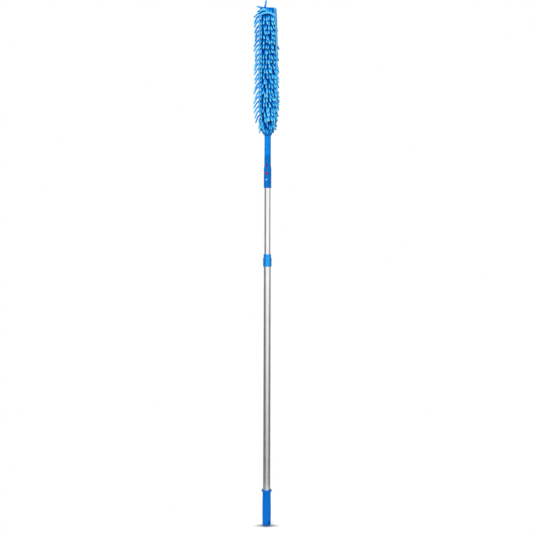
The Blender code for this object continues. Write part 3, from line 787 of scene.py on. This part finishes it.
def build_crown_strands(material):
    """Short strands over the closed end, and the ones that fan out of its folded corner."""
    strands = Strands(14)
    for i in range(6):
        x = -0.009 + 0.0052 * i
        for side in (-1, 1):
            root = Vector((x, side * 0.003, SLEEVE_TOP - 0.0050 + strands.wobble(0.0022)))
            drift = 0.003 + strands.wobble(0.005)
            tip = Vector((drift, side * 0.0095, -0.0145 + strands.wobble(0.002)))
            p1 = root + Vector((0, side * 0.005, 0.0015))
            p2 = root + Vector((0.002, side * 0.009, -0.005))
            strands.add(root, p1, p2, root + tip, THIN_RADIUS, painted_shade=(0.0, 0.68))
    look = {"radius": THIN_RADIUS, "painted_shade": (0.0, 0.8)}
    for i in range(7):
        height = SLEEVE_TOP - 0.012
        angle = 2 * math.pi - front_angle(-0.0195 + 0.0072 * i, height)
        lean = strands.wobble(0.3)
        hang(strands, angle, height + strands.wobble(0.002), lean, 0.014, lift=0.005, **look)
    top = Vector((0, 0, SLEEVE_TOP))
    for path in CROWN_FAN:
        strands.add(*(Vector(point) + top for point in path), radius=0.0028, painted_shade=(0.28, 0.62))
    strands.build("strands_crown", material)


def build_cuff_strands(material):
    """The lowest strands, in rings round the neck, each given as its rise, count and length."""
    strands = Strands(15)
    look = {"radius": THIN_RADIUS, "painted_shade": (0.05, 0.85)}
    rings = (
        (0.058, 11, 0.024),
        (0.046, 10, 0.024),
        (0.036, 9, 0.022),
        (0.026, 9, 0.018),
        (0.017, 9, 0.0125),
    )
    for ring, (rise, count, full_length) in enumerate(rings):
        for i in range(count):
            angle = 2 * math.pi * (i + 0.5 * ring + strands.wobble(0.22)) / count
            height = SLEEVE_MOUTH + rise + strands.wobble(0.003)
            lean = strands.wobble(0.30)
            length = full_length + strands.wobble(0.0030)
            hang(strands, angle, height, lean, length, lift=0.0052 - 0.0008 * ring, **look)
    strands.build("strands_cuff", material)


def build_backing(material):
    """The knitted tube under the strands: open at the mouth and sewn flat at the top."""
    sides, pleats = 72, 15
    low, high, step = SLEEVE_MOUTH + 0.001, SLEEVE_TOP - 0.0025, 0.006
    heights = [low + step * i for i in range(math.ceil((high - low) / step))] + [high]

    def ring(height, off):
        depth = 0.0007 * (1 - gathered(height))
        points = []
        for i in range(sides):
            angle = 2 * math.pi * i / sides
            points.append(sleeve_point(angle, height, off + depth * math.sin(pleats * angle))[0])
        return points

    pocket = [height for height in heights if height < POCKET_TOP - 0.002]
    inner = [ring(height, -BACKING_WALL) for height in reversed(pocket)]
    outer = [ring(height, 0) for height in heights]
    points, faces = loft(inner + outer)
    piece = make_piece("backing", points, faces, material, FROM_HEAD)
    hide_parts("sleeve_backing", "sleeve_cuff")
    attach(piece, "sleeve")


def build_hem(material):
    """The elastic hem at the mouth of the sleeve, gathered into small pleats round the neck."""
    sides, pleats = 120, 20
    section = circle(1, 0, 14)
    rings = []
    for k in range(sides):
        a = 2 * math.pi * k / sides
        pleat = math.sin(pleats * a)
        middle = HEM_RADIUS + 0.00025 * pleat
        ring = []
        for out, up, _ in section:
            reach = middle + out * (HEM_THICKNESS / 2 + 0.0002 * pleat)
            rise = (1 + math.copysign(abs(up) ** 0.7, up)) * HEM_HEIGHT / 2
            ring.append((reach * math.cos(a), reach * math.sin(a), SLEEVE_MOUTH + rise))
        rings.append(ring)
    points, faces = loft(rings, hollow=True)
    piece = make_piece("cuff_hem", points, faces, material, FROM_HEAD, sharp=180)
    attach(piece, "sleeve")


def ribbon_rings(path, widths, thickness):
    """Rings of a soft strip along a path of (point, normal) pairs, with rounded edges and ends."""
    rings = []
    sides = 12
    last = len(path) - 1
    for k, (point, normal) in enumerate(path):
        before, after = path[max(k - 1, 0)][0], path[min(k + 1, last)][0]
        along = (after - before).normalized()
        across = along.cross(normal).normalized()
        end = min(min(k, last - k) / 3 + 0.12, 1)
        round_off = math.sqrt(1 - (1 - end) ** 2)
        width = (widths[k] if isinstance(widths, list) else widths) * round_off
        ring = []
        for i in range(sides):
            a = 2 * math.pi * i / sides
            flat = math.copysign(abs(math.cos(a)) ** 0.6, math.cos(a))
            rise = normal * math.sin(a) * thickness * round_off / 2
            ring.append(point + across * flat * width / 2 + rise)
        rings.append(ring)
    return rings


def ribbon(name, path, widths, thickness, material):
    """A strip of seam tape along a path; widths is one width, or a list with one for each point."""
    points, faces = loft(ribbon_rings(path, widths, thickness))
    piece = make_piece(name, points, faces, material, FROM_HEAD, sharp=60)
    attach(piece, "sleeve")
    return piece


def add_stitches(points, faces, path, gap, length):
    """Adds short stitches of thread along a path of (point, normal) pairs to a mesh's lists."""
    thread, arch = 0.0006, 0.0004
    travelled, due = 0.0, gap
    for (a, normal), (b, _) in zip(path, path[1:]):
        travelled += (b - a).length
        if travelled < due:
            continue
        due = travelled + gap
        along = (b - a).normalized()
        stitch = []
        for k in range(5):
            t = k / 4 - 0.5
            stitch.append((a + along * length * t + normal * arch * (1 - 4 * t * t), normal))
        append_loft(points, faces, ribbon_rings(stitch, thread, thread))


def edge_path(angle, low, high, off, steps, wave_height, drift=0.0):
    """A path up the edge of the sleeve that waves a little; a negative drift moves its top left."""
    jitter = random.Random(steps)
    path = []
    for i in range(steps + 1):
        height = low + (high - low) * i / steps
        wave = math.sin(2 * math.pi * height / ROW_PITCH / 1.9) + jitter.uniform(-0.25, 0.25)
        point, normal = sleeve_point(angle, min(height, PADDLE_TOP), off + wave_height * wave)
        point.z = height
        point.x += drift * crown_narrowing(height)
        path.append((point, normal))
    return path


def top_hem_path():
    """Along the edge that closes the top of the sleeve."""
    steps = 24
    path = []
    for i in range(steps + 1):
        height = SLEEVE_TOP - 0.0026 + 0.0004 * math.sin(1.9 * i)
        path.append((Vector((-0.0215 + 0.0455 * i / steps, 0, height)), Vector((0, -1, 0))))
    return path


def top_roll_path():
    """Across the front below the top, in an arch that drops at both ends."""
    steps = 36
    path = []
    for i in range(steps + 1):
        t = i / steps
        x = -0.0255 + 0.0485 * t
        height = SLEEVE_TOP - 0.0215 - 0.0105 * abs(2 * t - 0.92) ** 2.6
        path.append(sleeve_point(front_angle(x, height), height, 0.0045))
    return path


def build_folded_corner(material):
    """The corner of the sleeve's top that is folded forward, widest in its middle."""
    steps = 20
    start = Vector((-0.0315, -0.0085, SLEEVE_TOP - 0.0225))
    middle = Vector((-0.0160, -0.0150, SLEEVE_TOP - 0.0035))
    end = Vector((-0.0030, -0.0105, SLEEVE_TOP - 0.0130))
    path, widths = [], []
    for i in range(steps + 1):
        t = i / steps
        point = start * (1 - t) ** 2 + middle * 2 * t * (1 - t) + end * t * t
        path.append((point, Vector((0.25 - 0.5 * t, -1, 0.15 + 0.3 * t)).normalized()))
        widths.append(0.0035 + 0.0062 * math.sin(math.pi * t**1.3) ** 1.4)
    ribbon("folded_corner", path, widths, 0.0034, material)


def build_seams(material, thread):
    """The side seams, the seams across the top, the folded corner and all their stitches."""
    low, high = SLEEVE_MOUTH + 0.046, SLEEVE_TOP
    left = edge_path(math.radians(180 + 22), low, high - 0.022, off=0.0012, steps=150, wave_height=0.0002)
    binding = ribbon("seam_left", left, 0.0080, 0.0022, material)
    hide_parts("seam_binding")

    shape = {"off": 0.0012, "steps": 160, "wave_height": 0.0002, "drift": -0.0030}
    right = edge_path(math.radians(360 - 12), low, high - 0.003, **shape)
    ribbon("seam_right", right, 0.0135, 0.0024, material)
    shape = {"off": 0.0046, "steps": 161, "wave_height": 0.0003, "drift": -0.0048}
    fold = edge_path(math.radians(360 - 33), low, high - 0.004, **shape)
    ribbon("seam_right_fold", fold, 0.0068, 0.0032, material)
    ribbon("seam_top_hem", top_hem_path(), 0.0034, 0.0062, material)

    roll = top_roll_path()
    ribbon("seam_top_front", roll, 0.0072, 0.0042, material)
    back = [(Vector((p.x, -p.y, p.z)), Vector((n.x, -n.y, n.z))) for p, n in roll]
    ribbon("seam_top_back", back, 0.0072, 0.0042, material)
    build_folded_corner(material)

    points, faces = [], []
    for path, lift in ((left, 0.0011), (right, 0.0011), (fold, 0.0015), (roll, 0.0020), (back, 0.0020)):
        raised = [(point + normal * lift, normal) for point, normal in path]
        add_stitches(points, faces, raised, gap=0.0038, length=0.0026)
    stitches = make_piece("seam_stitches", points, faces, thread, FROM_HEAD, sharp=60)
    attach(stitches, "sleeve")


# --- Neck, wires, springs and hard pieces ----------------------------------------------

NECK_RIBS = 13
NECK_GROOVE = 0.0005
NECK_CORE = 0.0036  # radius of the bore that the wires lie in
NECK_END_BORE = 0.0083  # radius of the wider bore at each end, for the stem and the ferrule
NECK_END_DEPTH = 0.010
WELD_GAP = 1e-6  # corners of CAD triangles nearer than this are one


def build_neck(material):
    """The ribbed hose between the socket and the wand."""
    pitch = (NECK_TOP - NECK_FOOT) / NECK_RIBS
    steps = 8
    profile = []
    for k in range(NECK_RIBS * steps + 1):
        t = k / steps
        crest = abs(math.sin(math.pi * t)) ** 0.35
        profile.append((NECK_RADIUS - NECK_GROOVE * (1 - crest), NECK_FOOT + pitch * t))
    straight = 0.02  # plain bore inside each end, before the middle
    profile += [
        (NECK_END_BORE, NECK_TOP),
        (NECK_END_BORE, NECK_TOP - NECK_END_DEPTH),
        (NECK_CORE, NECK_TOP - NECK_END_DEPTH - 0.0005),
        (NECK_CORE, NECK_TOP - NECK_END_DEPTH - straight),
        (NECK_CORE, NECK_FOOT + NECK_END_DEPTH + straight),
        (NECK_CORE, NECK_FOOT + NECK_END_DEPTH + 0.0002),
        (NECK_END_BORE, NECK_FOOT + NECK_END_DEPTH - 0.0003),
        (NECK_END_BORE, NECK_FOOT),
    ]
    points, faces = loft([circle(radius, height, 72) for radius, height in profile], hollow=True)
    piece = make_piece("ribbed_neck", points, faces, material)
    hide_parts("flexible_neck")
    bend_with_neck(piece)


def bend_with_neck(piece):
    """Bakes a piece's place into its mesh; it is not bent over the neck between the stem and the hem of
    the sleeve.
    """
    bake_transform(piece)


def build_wires(material):
    """The two wires that hold the neck's bend, with rings enough along them to bend."""
    steps = 32
    for word in ("left", "right"):
        node = f"core_wire_{word}"
        low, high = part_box(node)
        middle = (low + high) / 2
        rings = []
        for i in range(steps + 1):
            ring = circle((high.x - low.x) / 2, low.z + (high.z - low.z) * i / steps, 16)
            rings.append([(x + middle.x, y + middle.y, z) for x, y, z in ring])
        points, faces = loft(rings)
        piece = make_piece(f"wire_{word}", points, faces, material)
        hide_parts(node)
        bend_with_neck(piece)


def build_button_springs(material):
    """The hairpin leaf behind each button, welded from its CAD node."""
    for word in ("pole", "neck"):
        node = f"{word}_button_spring"
        bm = bmesh.new()
        bm.from_mesh(NODES[node].data)
        bmesh.ops.remove_doubles(bm, verts=bm.verts, dist=WELD_GAP)
        bm.verts.index_update()
        points = [tuple(vertex.co) for vertex in bm.verts]
        faces = [tuple(vertex.index for vertex in face.verts) for face in bm.faces]
        bm.free()
        piece = make_piece(f"{word}_button_leaf", points, faces, material)
        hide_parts(node)
        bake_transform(piece)


def shade_smooth(node):
    """Shades a CAD node smooth up to its creases; its vertices stay as they are."""
    mesh = node.data
    for word in ("custom_normal", "sharp_edge"):
        if word in mesh.attributes:
            mesh.attributes.remove(mesh.attributes[word])
    mesh.shade_smooth()
    weld = node.modifiers.new("weld", "WELD")
    weld.merge_threshold = WELD_GAP
    creases = node.modifiers.new("creases", "EDGE_SPLIT")
    creases.split_angle = math.radians(35)
    creases.use_edge_sharp = False


def dress_cad_nodes(materials):
    """Gives each CAD node that stays its material and smooth shading."""
    wear = {
        "grip": "grip",
        "lower_tube": "aluminium",
        "upper_tube": "aluminium",
        "lock_collar": "collar",
        "wand_socket": "socket",
        "neck_stem": "socket",
        "neck_ferrule": "socket",
        "wand_paddle": "socket",
        "guide_ring": "white",
        "cam_ring": "white",
        "cam_plug": "grey",
        "key_stud": "pale",
        "pole_button": "red",
        "neck_button": "dark_red",
    }
    for node, word in wear.items():
        mesh = NODES[node].data
        mesh.materials.clear()
        mesh.materials.append(materials[word])
        shade_smooth(NODES[node])


def build_all():
    """The whole scene, from the camera to the last piece."""
    add_camera()
    bpy.context.scene.view_settings.view_transform = "Standard"
    add_world()
    add_key_light()
    add_floor()
    materials = {
        "grip": plastic_material("grip_plastic", (0.0003, 0.125, 0.50), 0.45, 0.05, grain=(900, 0.3)),
        "socket": plastic_material("socket_plastic", (0.0005, 0.154, 0.545), 0.38, 0.06),
        "collar": plastic_material("collar_plastic", (0.008, 0.34, 0.95), 0.25, 0.8, metallic=0.65),
        "neck": plastic_material("neck_rubber", (0.0006, 0.225, 0.72), 0.5, 0.05),
        "red": plastic_material("red_plastic", (0.42, 0.0015, 0.030), 0.3, 0.12),
        "dark_red": plastic_material("dark_red_plastic", (0.20, 0.001, 0.050), 0.3, 0.08),
        "pale": plastic_material("pale_blue_plastic", (0.25, 0.62, 0.93), 0.4, 0.3),
        "white": plastic_material("white_nylon", (0.75, 0.75, 0.72), 0.5, 0.4),
        "grey": plastic_material("grey_nylon", (0.2, 0.2, 0.21), 0.5, 0.4),
        "aluminium": aluminium_material(),
        "steel": steel_material(),
    }
    dress_cad_nodes(materials)
    chenille = chenille_material()
    build_panels(chenille)
    build_left_strands(chenille)
    build_right_strands(chenille)
    build_crown_strands(chenille)
    build_cuff_strands(chenille)
    build_backing(knit_material())
    build_hem(hem_material())
    build_seams(tape_material(), thread_material())
    build_neck(materials["neck"])
    build_wires(materials["steel"])
    build_button_springs(materials["steel"])


build_all()
